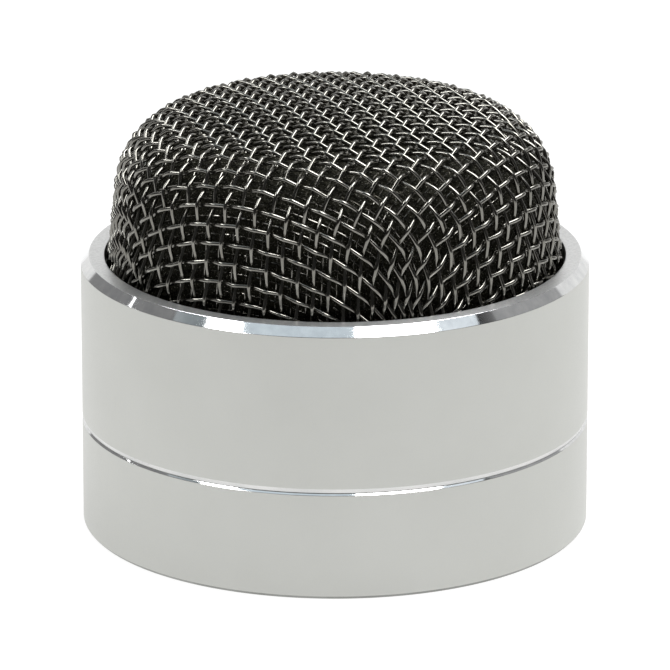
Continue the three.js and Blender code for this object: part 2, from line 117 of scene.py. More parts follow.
# Woven wire: 16 mesh cloth pressed over a dome.
WIRE_R = 0.205
WIRE_PITCH = 1.5875
WALL_STRETCH = 0.165
STRETCH_FROM = 6.0
STRETCH_TO = 16.0
STRETCH_FOCUS = 2.5
WEAVE_AZIMUTH = math.radians(62.6)
WEAVE_PHASE = (0.266, 0.679)
WEAVE_JITTER = 0.02
WIRE_CRIMP = (0.23, 0.3)
WEAVE_INSET = WIRE_R + max(WIRE_CRIMP)
WIRE_STEPS = 6
WIRE_SIDES = 8
WIRE_SHARP_ANGLE = 60.0
JITTER_SEED = 11
AXIS_PASSES = 20
CORNER_PASSES = 40
SOLVER_STEP = 1e-5
SOLVER_TOLERANCE = 1e-7
SMALLEST_DIVISOR = 1e-9
LARGEST_MOVE = 0.4  # of a pitch, in one pass of the solver
NEAR_AXIS_R = 2.0

# Thin screen between the grille and the foam.
SCREEN_INSET = 1.12
SCREEN_WIRE_R = 0.06
SCREEN_SIDES = 5

# Foam liner.
LINER_INSET = 1.24
LINER_T = 0.36
LINER_ROWS = 60
LINER_SEGMENTS = 160
LUMP_SIZE = 2.2
LUMP_HEIGHT = 0.05
LUMP_SUNK = 0.03

SHELL_SEGMENTS = 240
POST_SEGMENTS = 48
SHARP_ANGLE = 40.0

# Material slots of the two shells. The fourth is the cup's bottom bevel, darkened as painted shade for the contact
# shadow under the edge, or the bezel's faced end.
SATIN, POLISHED, MACHINED, SPECIAL = range(4)


# ---------------------------------------------------------------- camera and studio

CAMERA_ELEVATION = math.radians(17.91)
CAMERA_DISTANCE = 0.684
CAMERA_TARGET = Vector((0.0, 0.0, 0.018675))
CAMERA_LENS = 372.3
OVERHEAD_Z = 0.7
OVERHEAD_Y = (-0.32, 0.38)
SOFTBOX_RADIANCE = 10.5
BACKDROP_TURN = 0.164  # turns the white backdrop a little to the right
BACKDROP_WHITE = (0.87, 0.87, 0.86, 1.0)
WHITE = (1.0, 1.0, 1.0)
FLOOR_RADIUS = 4.0
FLOOR_SIDES = 96


def add_camera():
    data = bpy.data.cameras.new("camera")
    data.sensor_width = 36.0
    data.lens = CAMERA_LENS
    data.clip_start = 0.01
    data.clip_end = 50.0
    camera = bpy.data.objects.new("camera", data)
    away = Vector((0.0, -math.cos(CAMERA_ELEVATION), math.sin(CAMERA_ELEVATION)))
    camera.location = CAMERA_TARGET + CAMERA_DISTANCE * away
    camera.rotation_euler = away.to_track_quat("Z", "Y").to_euler()
    bpy.context.collection.objects.link(camera)
    bpy.context.scene.camera = camera


def add_area(name, place, width, length, radiance, tint):
    """A rectangular soft box that faces straight down, with its brightness given as radiance."""
    data = bpy.data.lights.new(name, "AREA")
    data.shape = "RECTANGLE"
    data.size = width
    data.size_y = length
    data.energy = radiance * math.pi * width * length
    data.color = tint
    area = bpy.data.objects.new(name, data)
    area.location = place
    bpy.context.collection.objects.link(area)
    return area


def add_panel(name, place, width, length, radiance):
    """A soft box turned to face the object."""
    panel = add_area(name, place, width, length, radiance, WHITE)
    panel.rotation_euler = Vector(place).to_track_quat("Z", "Y").to_euler()


def add_overhead(name, low_x, high_x, radiance, tint=WHITE):
    """A flat soft box overhead."""
    low_y, high_y = OVERHEAD_Y
    centre = ((low_x + high_x) / 2, (low_y + high_y) / 2, OVERHEAD_Z)
    add_area(name, centre, high_x - low_x, high_y - low_y, radiance, tint)


def add_studio():
    """Two bright soft boxes with dim ones between and beside them, which the polished chamfers reflect as fields of
    white, pale blue and grey, a thin strip for the glint on the left, and a grey card on the right."""
    add_overhead("softbox_left", -0.53, -0.377, SOFTBOX_RADIANCE)
    add_overhead("softbox_right", 0.08, 0.41, SOFTBOX_RADIANCE)
    add_overhead("ceiling_diffuser", -0.376, 0.079, 0.68, (0.82, 0.93, 1.0))
    add_overhead("softbox_edge_left", -0.69, -0.531, 0.22, (0.82, 0.95, 1.0))
    add_overhead("softbox_edge_right", 0.411, 0.6, 0.85, (0.88, 0.95, 1.0))
    add_panel("strip_back_left", (-0.924, 0.4975, 0.6775), 0.4, 0.01, 5.0)
    add_panel("card_right", (0.892, 0.444, 0.75), 0.65, 0.56, 0.13)


def add_world():
    """What the camera sees is white. What lights the object and shows in its reflections is a room: a white backdrop
    low at the back, turned a little to the right, a dim ceiling, and a darker side where the camera stands."""
    world = bpy.data.worlds.new("studio")
    world.use_nodes = True
    nodes, links = world.node_tree.nodes, world.node_tree.links
    nodes.clear()

    def ramp(source, stops):
        made = nodes.new("ShaderNodeValToRGB")
        marks = made.color_ramp.elements
        for n, (position, value) in enumerate(stops):
            mark = marks[n] if n < 2 else marks.new(position)
            mark.position = position
            mark.color = (value, value, value, 1.0)
        links.new(source, made.inputs["Fac"])
        return made.outputs["Color"]

    def product(a, b):
        made = nodes.new("ShaderNodeMix")
        made.data_type = "RGBA"
        made.blend_type = "MULTIPLY"
        made.inputs["Factor"].default_value = 1.0
        links.new(a, made.inputs["A"])
        links.new(b, made.inputs["B"])
        return made.outputs["Result"]

    place = nodes.new("ShaderNodeTexCoord")
    split = nodes.new("ShaderNodeSeparateXYZ")
    links.new(place.outputs["Generated"], split.inputs["Vector"])
    turned_back = nodes.new("ShaderNodeMath")
    turned_back.operation = "MULTIPLY_ADD"
    turned_back.inputs[1].default_value = BACKDROP_TURN
    links.new(split.outputs["X"], turned_back.inputs[0])
    links.new(split.outputs["Y"], turned_back.inputs[2])
    backwards = ramp(turned_back.outputs[0], ((0.0, 0.0), (0.95, 1.0), (0.7, 0.0), (0.72, 0.95)))
    low = ramp(split.outputs["Z"], ((0.0, 1.0), (0.6, 0.0), (0.45, 0.85)))
    ceiling = ramp(split.outputs["Z"], ((0.0, 0.05), (1.0, 0.2), (0.2, 0.24), (0.5, 0.22)))
    behind = ramp(split.outputs["Y"], ((0.0, 0.2), (0.12, 1.0)))
    room = nodes.new("ShaderNodeMix")
    room.data_type = "RGBA"
    links.new(product(backwards, low), room.inputs["Factor"])
    links.new(product(ceiling, behind), room.inputs["A"])
    room.inputs["B"].default_value = BACKDROP_WHITE

    output = nodes.new("ShaderNodeOutputWorld")
    mix = nodes.new("ShaderNodeMixShader")
    path = nodes.new("ShaderNodeLightPath")
    lit = nodes.new("ShaderNodeBackground")
    seen = nodes.new("ShaderNodeBackground")
    seen.inputs["Color"].default_value = (*WHITE, 1.0)
    links.new(room.outputs["Result"], lit.inputs["Color"])
    links.new(path.outputs["Is Camera Ray"], mix.inputs["Fac"])
    links.new(lit.outputs["Background"], mix.inputs[1])
    links.new(seen.outputs["Background"], mix.inputs[2])
    links.new(mix.outputs["Shader"], output.inputs["Surface"])
    bpy.context.scene.world = world


# ---------------------------------------------------------------- materials


class Finish:
    """A Principled material under construction, with helpers for noise-driven colour, roughness and relief."""

    def __init__(self, name, metallic=0.0, **sockets):
        self.material = bpy.data.materials.new(name)
        self.material.use_nodes = True
        self.nodes = self.material.node_tree.nodes
        self.links = self.material.node_tree.links
        self.shader = self.nodes["Principled BSDF"]
        self.shader.inputs["Metallic"].default_value = metallic
        for socket, value in sockets.items():
            self.shader.inputs[socket.replace("_", " ")].default_value = value
        place = self.nodes.new("ShaderNodeTexCoord")
        self.place = place.outputs["Object"]
        self.height = None

    def node(self, kind, **values):
        made = self.nodes.new(kind)
        for key, value in values.items():
            setattr(made, key, value)
        return made

    def noise(self, grain, detail=3.0, where=None, roughness=0.5):
        """Noise with features about grain millimetres across."""
        made = self.node("ShaderNodeTexNoise")
        made.inputs["Scale"].default_value = 1.0 / (grain * MM)
        made.inputs["Detail"].default_value = detail
        made.inputs["Roughness"].default_value = roughness
        self.links.new(where or self.place, made.inputs["Vector"])
        return made.outputs["Fac"]

    def cells(self, size):
        made = self.node("ShaderNodeTexVoronoi", feature="F1")
        made.inputs["Scale"].default_value = 1.0 / (size * MM)
        self.links.new(self.place, made.inputs["Vector"])
        return made.outputs["Distance"]

    def profile_place(self):
        """Coordinates of radius and height only, so that noise turns into marks that run round the axis."""
        split = self.node("ShaderNodeSeparateXYZ")
        flat = self.node("ShaderNodeCombineXYZ")
        length = self.node("ShaderNodeVectorMath", operation="LENGTH")
        joined = self.node("ShaderNodeCombineXYZ")
        self.links.new(self.place, split.inputs[0])
        self.links.new(split.outputs["X"], flat.inputs["X"])
        self.links.new(split.outputs["Y"], flat.inputs["Y"])
        self.links.new(flat.outputs[0], length.inputs[0])
        self.links.new(length.outputs["Value"], joined.inputs["X"])
        self.links.new(split.outputs["Z"], joined.inputs["Z"])
        return joined.outputs[0]

    def ranged(self, value, low, high, start=0.35, end=0.65):
        made = self.node("ShaderNodeMapRange")
        made.inputs["From Min"].default_value = start
        made.inputs["From Max"].default_value = end
        made.inputs["To Min"].default_value = low
        made.inputs["To Max"].default_value = high
        self.links.new(value, made.inputs["Value"])
        return made.outputs["Result"]

    def colour(self, value, dark, light, start=0.35, end=0.65):
        ramp = self.node("ShaderNodeValToRGB")
        ramp.color_ramp.elements[0].position = start
        ramp.color_ramp.elements[0].color = (*dark, 1.0)
        ramp.color_ramp.elements[1].position = end
        ramp.color_ramp.elements[1].color = (*light, 1.0)
        self.links.new(value, ramp.inputs["Fac"])
        self.links.new(ramp.outputs["Color"], self.shader.inputs["Base Color"])
        return self

    def rough(self, value, low, high):
        self.links.new(self.ranged(value, low, high), self.shader.inputs["Roughness"])
        return self

    def relief(self, value, depth, strength=1.0):
        """Adds bump of the given depth in millimetres, on top of any relief already there."""
        bump = self.node("ShaderNodeBump")
        bump.inputs["Distance"].default_value = depth * MM
        bump.inputs["Strength"].default_value = strength
        self.links.new(value, bump.inputs["Height"])
        if self.height:
            self.links.new(self.height, bump.inputs["Normal"])
        self.height = bump.outputs["Normal"]
        self.links.new(self.height, self.shader.inputs["Normal"])
        return self


def satin_aluminium():
    """Bead-blasted and clear anodised: even satin, with a fine grain and the faintest turning marks."""
    finish = Finish("satin_aluminium", metallic=1.0)
    clouds = finish.noise(9.0, 4.0)
    grain = finish.noise(0.12, 2.0)
    turning = finish.noise(0.25, 2.0, finish.profile_place())
    finish.colour(clouds, (0.545, 0.55, 0.525), (0.565, 0.57, 0.545), 0.3, 0.7)
    finish.rough(grain, 0.36, 0.44)
    finish.relief(grain, 0.004, 0.4)
    finish.relief(turning, 0.002, 0.2)
    return finish.material


def faced_aluminium():
    """The turned end face of the shell: fine rings that spread reflections along the radius."""
    finish = Finish("faced_aluminium", metallic=1.0, Anisotropic=0.5, Anisotropic_Rotation=0.25)
    rings = finish.noise(0.1, 2.0, finish.profile_place())
    grain = finish.noise(0.2, 2.0)
    finish.colour(grain, (0.74, 0.745, 0.745), (0.9, 0.905, 0.905), 0.3, 0.7)
    finish.rough(rings, 0.33, 0.4)
    finish.relief(grain, 0.012, 0.6)
    tangent = finish.node("ShaderNodeTangent", direction_type="RADIAL", axis="Z")
    finish.links.new(tangent.outputs["Tangent"], finish.shader.inputs["Tangent"])
    return finish.material


def polished_aluminium():
    """Diamond-cut chamfer: mirror bright with hairline tool marks."""
    finish = Finish("polished_aluminium", metallic=1.0)
    hairlines = finish.noise(0.06, 2.0, finish.profile_place())
    clouds = finish.noise(1.2, 4.0)
    finish.colour(clouds, (0.78, 0.79, 0.8), (0.92, 0.925, 0.925), 0.3, 0.7)
    finish.rough(hairlines, 0.03, 0.07)
    finish.relief(hairlines, 0.001, 0.25)
    return finish.material


def machined_aluminium():
    """Bare turned metal: inside faces, thread and the bevel above the parting line."""
    finish = Finish("machined_aluminium", metallic=1.0)
    marks = finish.noise(0.15, 3.0, finish.profile_place())
    clouds = finish.noise(5.0, 3.0)
    finish.colour(clouds, (0.6, 0.605, 0.6), (0.7, 0.7, 0.69))
    finish.rough(marks, 0.22, 0.4)
    finish.relief(marks, 0.004, 0.5)
    return finish.material


def black_nickel():
    """Dark glossy plating with a faint olive tint that varies a little along the wires."""
    finish = Finish("black_nickel", metallic=1.0)
    tone = finish.noise(1.6, 4.0)
    fine = finish.noise(0.15, 2.0)
    finish.colour(tone, (0.185, 0.179, 0.16), (0.25, 0.243, 0.222), 0.3, 0.7)
    finish.rough(fine, 0.14, 0.22)
    finish.relief(fine, 0.002, 0.3)
    return finish.material


def black_foam():
    """Open-cell foam: near black, with pale specks painted on as highlights where cell walls catch the light, and
    made shinier there.
    """
    finish = Finish("black_foam", Specular_IOR_Level=0.1)
    cells = finish.cells(0.3)
    painted_glints = finish.noise(0.14, 1.0)
    # the pale speck colour is painted highlight; the foam itself is near black
    finish.colour(painted_glints, (0.011, 0.0105, 0.006), (0.3, 0.29, 0.24), 0.66, 0.76)
    finish.rough(painted_glints, 0.9, 0.4)
    finish.relief(cells, 0.2, 1.0)
    return finish.material


def moulded(name, dark, light, low, high, grain=0.4, depth=0.01):
    """Moulded rubber, plastic or coated part with a fine even texture."""
    finish = Finish(name)
    tone = finish.noise(4.0, 3.0)
    texture = finish.noise(grain, 3.0)
    finish.colour(tone, dark, light)
    finish.rough(texture, low, high)
    finish.relief(texture, depth, 0.5)
    return finish.material


def turned_metal(name, dark, light, low, high):
    """Turned or plated metal: marks that run round the axis and a slightly uneven plating."""
    finish = Finish(name, metallic=1.0)
    marks = finish.noise(0.2, 3.0, finish.profile_place())
    clouds = finish.noise(3.0, 4.0)
    finish.colour(clouds, dark, light)
    finish.rough(marks, low, high)
    finish.relief(marks, 0.004, 0.5)
    return finish.material


def woven_coating(name, dark, light, thread):
    """Coated cloth: crossed threads under a thin tacky coating."""
    finish = Finish(name, Sheen_Weight=0.2)
    tone = finish.noise(3.0, 3.0)
    finish.colour(tone, dark, light)
    finish.rough(finish.noise(0.3, 2.0), 0.45, 0.65)
    for axis in ("X", "Y"):
        wave = finish.node("ShaderNodeTexWave", bands_direction=axis)
        wave.inputs["Scale"].default_value = 1.0 / (thread * MM) / math.tau
        wave.inputs["Distortion"].default_value = 0.4
        finish.links.new(finish.place, wave.inputs["Vector"])
        finish.relief(wave.outputs["Fac"], 0.02, 0.5)
    return finish.material


def pale_floor():
    """White light table: glows from below, so the object throws almost no shadow."""
    finish = Finish("pale_floor", Emission_Color=(1.0, 1.0, 0.995, 1.0), Emission_Strength=0.93)
    tone = finish.noise(300.0, 3.0)
    finish.colour(tone, (0.1, 0.1, 0.1), (0.11, 0.11, 0.11))
    finish.rough(tone, 0.8, 0.9)
    return finish.material


# ---------------------------------------------------------------- mesh building


def make_object(name, vertices, faces, materials, slots=None, sharp_angle=SHARP_ANGLE):
    """A mesh object from millimetres, smooth except across edges sharper than sharp_angle degrees."""
    mesh = bpy.data.meshes.new(name)
    mesh.from_pydata([tuple(c * MM for c in v) for v in vertices], [], faces)
    for material in materials:
        mesh.materials.append(material)
    if slots:
        mesh.polygons.foreach_set("material_index", slots)
    mesh.polygons.foreach_set("use_smooth", [True] * len(mesh.polygons))
    mesh.validate()
    mesh.update()
    mesh.set_sharp_from_angle(angle=math.radians(sharp_angle))
    made = bpy.data.objects.new(name, mesh)
    bpy.context.collection.objects.link(made)
    return made


def turned(name, outline, materials, segments=SHELL_SEGMENTS, radius_at=None):
    """A body of revolution. The outline is (radius, z, slot) points, anticlockwise with radius to the right; slot is
    the material of the stretch that starts there. It closes on itself, or starts and ends on the axis."""
    on_axis = outline[0][0] == 0.0
    vertices, rows = [], []
    for r, z, _ in outline:
        if r == 0.0:
            rows.append([len(vertices)] * segments)
            vertices.append((0.0, 0.0, z))
            continue
        rows.append(list(range(len(vertices), len(vertices) + segments)))
        for k in range(segments):
            angle = 2 * math.pi * k / segments
            radius = radius_at(r, z, angle) if radius_at else r
            vertices.append((radius * math.cos(angle), radius * math.sin(angle), z))
    faces, slots = [], []
    count = len(outline)
    for i in range(count - 1 if on_axis else count):
        low, high = rows[i], rows[(i + 1) % count]
        for k in range(segments):
            nxt = (k + 1) % segments
            corners = [low[k], low[nxt], high[nxt], high[k]]
            kept = [c for n, c in enumerate(corners) if c != corners[n - 1]]
            faces.append(kept)
            slots.append(outline[i][2])
    return make_object(name, vertices, faces, materials, slots)


def eased(corners, steps=3):
    """Rounds the corners of an outline, with a row on either side that keeps the flats flat. Each corner is
    (radius, z, slot, fillet)."""
    points = []
    for n, (r, z, slot, fillet) in enumerate(corners):
        if not fillet:
            points.append((r, z, slot))
            continue
        here = Vector((r, z))
        before = Vector(corners[n - 1][:2])
        after = Vector(corners[(n + 1) % len(corners)][:2])
        start = here + (before - here).normalized() * fillet
        end = here + (after - here).normalized() * fillet
        points.append((*(2 * start - here), corners[n - 1][2]))
        for k in range(steps + 1):
            t = k / steps
            p = (1 - t) ** 2 * start + 2 * t * (1 - t) * here + t ** 2 * end
            points.append((p.x, p.y, slot if t > 0.5 else corners[n - 1][2]))
        points.append((*(2 * end - here), slot))
    return points


# ---------------------------------------------------------------- dome outline


class Dome:
    """The grille's outline, moved inwards by inset: crown arc, shoulder arc, drafted wall, by arc length from the
    apex."""

    def __init__(self, inset):
        slope = math.hypot(1.0, WALL_DRAFT)
        self.up = (-WALL_DRAFT / slope, 1.0 / slope)
        inwards = (-1.0 / slope, -WALL_DRAFT / slope)
        self.crown_z = APEX_Z - CROWN_R
        start_r = WALL_TOP_R + SHOULDER_R * inwards[0]
        start_z = BODY_TOP + SHOULDER_R * inwards[1] - self.crown_z
        along = start_r * self.up[0] + start_z * self.up[1]
        reach = CROWN_R - SHOULDER_R
        t = -along + math.sqrt(along ** 2 - (start_r ** 2 + start_z ** 2 - reach ** 2))
        self.shoulder = (start_r + t * self.up[0], start_z + t * self.up[1] + self.crown_z)
        self.wall_angle = math.atan2(-inwards[1], -inwards[0])
        self.crown_angle = math.atan2(self.shoulder[1] - self.crown_z, self.shoulder[0])
        self.crown_r = CROWN_R - inset
        self.shoulder_r = SHOULDER_R - inset
        self.crown_length = self.crown_r * (math.pi / 2 - self.crown_angle)
        self.bend_end = self.crown_length + self.shoulder_r * (self.crown_angle - self.wall_angle)
        self.wall_top = self.on_arc(self.shoulder, self.shoulder_r, self.wall_angle)
        self.foot = self.bend_end + (self.wall_top[1] - MESH_FOOT_Z) / self.up[1]

    @staticmethod
    def on_arc(centre, radius, angle):
        return centre[0] + radius * math.cos(angle), centre[1] + radius * math.sin(angle)

    def at(self, s):
        """Radius, height and outward normal at arc length s."""
        if s < self.crown_length:
            angle = math.pi / 2 - s / self.crown_r
            return (*self.on_arc((0.0, self.crown_z), self.crown_r, angle), math.cos(angle), math.sin(angle))
        if s < self.bend_end:
            angle = self.crown_angle - (s - self.crown_length) / self.shoulder_r
            return (*self.on_arc(self.shoulder, self.shoulder_r, angle), math.cos(angle), math.sin(angle))
        down = s - self.bend_end
        r = self.wall_top[0] - self.up[0] * down
        z = self.wall_top[1] - self.up[1] * down
        return r, z, math.cos(self.wall_angle), math.sin(self.wall_angle)

    def point(self, s, azimuth):
        r, z, _, _ = self.at(s)
        return r * math.cos(azimuth), r * math.sin(azimuth), z

    def normal(self, s, azimuth):
        _, _, across, up = self.at(s)
        return across * math.cos(azimuth), across * math.sin(azimuth), up


# ---------------------------------------------------------------- woven wire


def smooth_step(low, high, x):
    t = min(1.0, max(0.0, (x - low) / (high - low)))
    return t * t * (3.0 - 2.0 * t)


class Weave:
    """Crossings of a square cloth drawn over the dome. Wires keep their spacing along each other, and the squares
    shear into diamonds between the two wire directions. The wires that run down the wall are stretched."""

    def __init__(self, dome):
        self.dome = dome
        self.limit = dome.foot + 2 * WIRE_PITCH
        self.crossings = {}
        for u_side in (1, -1):
            for v_side in (1, -1):
                self.add_quadrant(u_side, v_side)
        self.jitter()

    def edge(self, here, there, share):
        """How much longer the edge between two (s, azimuth) crossings is than the cloth allows."""
        length = math.dist(self.dome.point(*here), self.dome.point(*there))
        downhill = min(1.0, abs(here[0] - there[0]) / max(length, SMALLEST_DIVISOR)) ** STRETCH_FOCUS
        zone = smooth_step(STRETCH_FROM, STRETCH_TO, (here[0] + there[0]) / 2)
        return length - share * WIRE_PITCH * (1.0 + WALL_STRETCH * zone * downhill)

    def axis(self, azimuth, first):
        """Crossings down one of the two meridians along which the cloth isn't sheared. The first step is a share of a
        pitch."""
        row, s = [(0.0, azimuth)], 0.0
        while s < self.limit:
            share = first if len(row) == 1 else 1.0
            there = row[-1]
            s += share * WIRE_PITCH
            for _ in range(AXIS_PASSES):
                s -= self.edge((s, azimuth), there, share)
            row.append((s, azimuth))
        return row

    def fourth_corner(self, a, b, c, share_a, share_b):
        """The crossing that follows a along one wire and b along the other, opposite c."""
        x, y, _ = (pa + pb - pc for pa, pb, pc in zip(self.dome.point(*a), self.dome.point(*b), self.dome.point(*c)))
        s, azimuth = a[0] + b[0] - c[0], math.atan2(y, x)
        step = SOLVER_STEP
        for _ in range(CORNER_PASSES):
            e1, e2 = self.edge((s, azimuth), a, share_a), self.edge((s, azimuth), b, share_b)
            if abs(e1) + abs(e2) < SOLVER_TOLERANCE:
                return s, azimuth
            s1 = (self.edge((s + step, azimuth), a, share_a) - e1) / step
            s2 = (self.edge((s + step, azimuth), b, share_b) - e2) / step
            t1 = (self.edge((s, azimuth + step), a, share_a) - e1) / step
            t2 = (self.edge((s, azimuth + step), b, share_b) - e2) / step
            det = s1 * t2 - t1 * s2
            if abs(det) < SMALLEST_DIVISOR:
                return None
            most = LARGEST_MOVE * WIRE_PITCH
            turn = most / max(NEAR_AXIS_R, self.dome.at(s)[0])
            s += min(most, max(-most, (e2 * t1 - e1 * t2) / det))
            azimuth += min(turn, max(-turn, (e1 * s2 - e2 * s1) / det))
        return None

    def add_quadrant(self, u_side, v_side):
        """Solves one quarter in its own azimuth, 0 along u and a right angle along v, then turns it into place."""
        first_u = WEAVE_PHASE[0] if u_side > 0 else 1.0 - WEAVE_PHASE[0]
        first_v = WEAVE_PHASE[1] if v_side > 0 else 1.0 - WEAVE_PHASE[1]
        grid = {(0, 0): (0.0, 0.0)}
        grid.update({(i, 0): node for i, node in enumerate(self.axis(0.0, first_u)) if i})
        grid.update({(0, j): node for j, node in enumerate(self.axis(math.pi / 2, first_v)) if j})
        size = max(i for i, _ in grid)
        for total in range(2, 2 * size + 1):
            for i in range(max(1, total - size), min(size, total - 1) + 1):
                j = total - i
                a, b, c = grid.get((i - 1, j)), grid.get((i, j - 1)), grid.get((i - 1, j - 1))
                if not (a and b and c) or max(a[0], b[0]) > self.limit:
                    continue
                node = self.fourth_corner(a, b, c, first_u if i == 1 else 1.0, first_v if j == 1 else 1.0)
                if node:
                    grid[i, j] = node
        base = WEAVE_AZIMUTH + (0.0 if u_side > 0 else math.pi)
        sense = u_side * v_side
        for (i, j), (s, azimuth) in grid.items():
            if i and j:
                place = (i - 1 if u_side > 0 else -i, j - 1 if v_side > 0 else -j)
                self.crossings[place] = (s, base + sense * azimuth)

    def jitter(self):
        """Small seeded irregularities of a pressed cloth."""
        chance = random.Random(JITTER_SEED)
        for place in sorted(self.crossings):
            s, azimuth = self.crossings[place]
            shift = WIRE_PITCH * WEAVE_JITTER
            across = chance.gauss(0.0, shift) / max(NEAR_AXIS_R, self.dome.at(s)[0])
            self.crossings[place] = (s + chance.gauss(0.0, shift), azimuth + across)

    def wires(self, family):
        """Each wire of one family as its crossings in order, with the side on which it passes the other family."""
        lines = {}
        for (i, j), node in self.crossings.items():
            key, along = (i, j) if family == 0 else (j, i)
            side = 1 if (i + j + family) % 2 == 0 else -1
            lines.setdefault(key, []).append((along, node, side))
        for key in sorted(lines):
            run = sorted(lines[key])
            start = 0
            for n in range(1, len(run) + 1):
                if n == len(run) or run[n][0] != run[n - 1][0] + 1:
                    if n - start > 1:
                        yield run[start:n]
                    start = n

    def centre_lines(self, family):
        """Wire centre lines as runs of (point, surface normal), cut at the grille's foot."""
        height = WIRE_CRIMP[family]
        for run in self.wires(family):
            spots = [Vector(self.dome.point(*node)) for _, node, _ in run]
            normals = [Vector(self.dome.normal(*node)) for _, node, _ in run]
            line = []
            for n in range(len(run) - 1):
                p0, p1 = spots[max(n - 1, 0)], spots[n]
                p2, p3 = spots[n + 1], spots[min(n + 2, len(run) - 1)]
                steps = WIRE_STEPS + (n == len(run) - 2)
                for k in range(steps):
                    t = k / WIRE_STEPS
                    s = (1 - t) * run[n][1][0] + t * run[n + 1][1][0]
                    if s > self.dome.foot:
                        if len(line) > 2:
                            yield line
                        line = []
                        continue
                    spot = catmull_rom(p0, p1, p2, p3, t)
                    normal = ((1 - t) * normals[n] + t * normals[n + 1]).normalized()
                    wave = run[n][2] * (math.cos(math.pi * t) + 1.0 - 2.0 * t) / 2
                    line.append((spot + normal * (height * wave), normal))
            if len(line) > 2:
                yield line


def screen_lines(weave, family):
    """Lines of the thin screen: one between each pair of neighbouring grille wires, further in."""
    depth = SCREEN_INSET - WEAVE_INSET
    spots = {}
    for (i, j) in weave.crossings:
        corners = [weave.crossings.get(place) for place in ((i, j), (i + 1, j), (i, j + 1), (i + 1, j + 1))]
        if None in corners or max(c[0] for c in corners) > weave.dome.foot:
            continue
        spot = sum((Vector(weave.dome.point(*c)) for c in corners), Vector()) / 4
        normal = sum((Vector(weave.dome.normal(*c)) for c in corners), Vector()).normalized()
        side = 1 if (i + j + family) % 2 == 0 else -1
        spots[(i, j) if family == 0 else (j, i)] = (spot - normal * (depth + side * SCREEN_WIRE_R), normal)
    line, last = [], None
    for place in sorted(spots):
        if last and place != (last[0], last[1] + 1):
            if len(line) > 2:
                yield line
            line = []
        line.append(spots[place])
        last = place
    if len(line) > 2:
        yield line


def catmull_rom(p0, p1, p2, p3, t):
    return 0.5 * (
        2 * p1 + (p2 - p0) * t + (2 * p0 - 5 * p1 + 4 * p2 - p3) * t ** 2 + (3 * p1 - 3 * p2 + p3 - p0) * t ** 3
    )


def wire_object(name, lines, material, radius=WIRE_R, sides=WIRE_SIDES):
    """Round wires with capped ends along the centre lines."""
    vertices, faces = [], []
    ring = [2 * math.pi * k / sides for k in range(sides)]
    for line in lines:
        first = len(vertices)
        for n, (spot, normal) in enumerate(line):
            ahead = line[min(n + 1, len(line) - 1)][0] - line[max(n - 1, 0)][0]
            ahead.normalize()
            out = (normal - ahead * normal.dot(ahead)).normalized()
            side = ahead.cross(out)
            for angle in ring:
                vertices.append(spot + radius * (math.cos(angle) * out + math.sin(angle) * side))
        for n in range(len(line) - 1):
            low = first + n * sides
            for k in range(sides):
                nxt = (k + 1) % sides
                faces.append((low + k, low + nxt, low + sides + nxt, low + sides + k))
        last = first + (len(line) - 1) * sides
        faces.append(tuple(first + k for k in reversed(range(sides))))
        faces.append(tuple(last + k for k in range(sides)))
    return make_object(name, vertices, faces, [material], sharp_angle=WIRE_SHARP_ANGLE)


# ---------------------------------------------------------------- pieces


def thread_wave(z, angle):
    """1 on a crest of the housing thread and -1 in a root, flattened a little as a cut thread is."""
    turn = z / THREAD_PITCH - angle / (2 * math.pi)
    return max(-1.0, min(1.0, THREAD_FLATNESS * math.cos(2 * math.pi * turn)))


def thread_rows(r, low, high):
    """Outline points between low and high, close enough together to carry the thread."""
    rows = int((high - low) / THREAD_PITCH * THREAD_ROWS)
    return [(r, low + (high - low) * k / rows, MACHINED) for k in range(1, rows)]


def cut_thread(thread_r):
    """A radius_at for turned() that cuts the thread into the face of radius thread_r."""

    def radius_at(r, z, angle):
        if r != thread_r or z < THREAD_BOTTOM:
            return r
        fade = smooth_step(THREAD_BOTTOM, THREAD_BOTTOM + THREAD_RUNOUT, z)
        return r - fade * THREAD_DEPTH * (1 - thread_wave(z, angle)) / 2

    return radius_at


def post(r, low, high, edge, x, y, materials):
    """A round post, or the cutter for a round hole, with its top edge eased."""
    profile = [(0.0, low), (r, low), (r, high - edge), (r - edge, high), (0.0, high)]
    if not edge:
        del profile[3]
    outline = [(*point, MACHINED) for point in profile]
    made = turned("post", outline, materials, segments=POST_SEGMENTS)
    made.location = (x * MM, y * MM, 0.0)
    bpy.context.view_layer.update()
    return made


def reshape(body, tool, operation):
    """Joins the tool to the body or cuts it away, and removes the tool."""
    modifier = body.modifiers.new("reshape", "BOOLEAN")
    modifier.operation = operation
    modifier.solver = "EXACT"
    modifier.object = tool
    bpy.context.view_layer.objects.active = body
    bpy.ops.object.modifier_apply(modifier="reshape")
    bpy.data.objects.remove(tool)


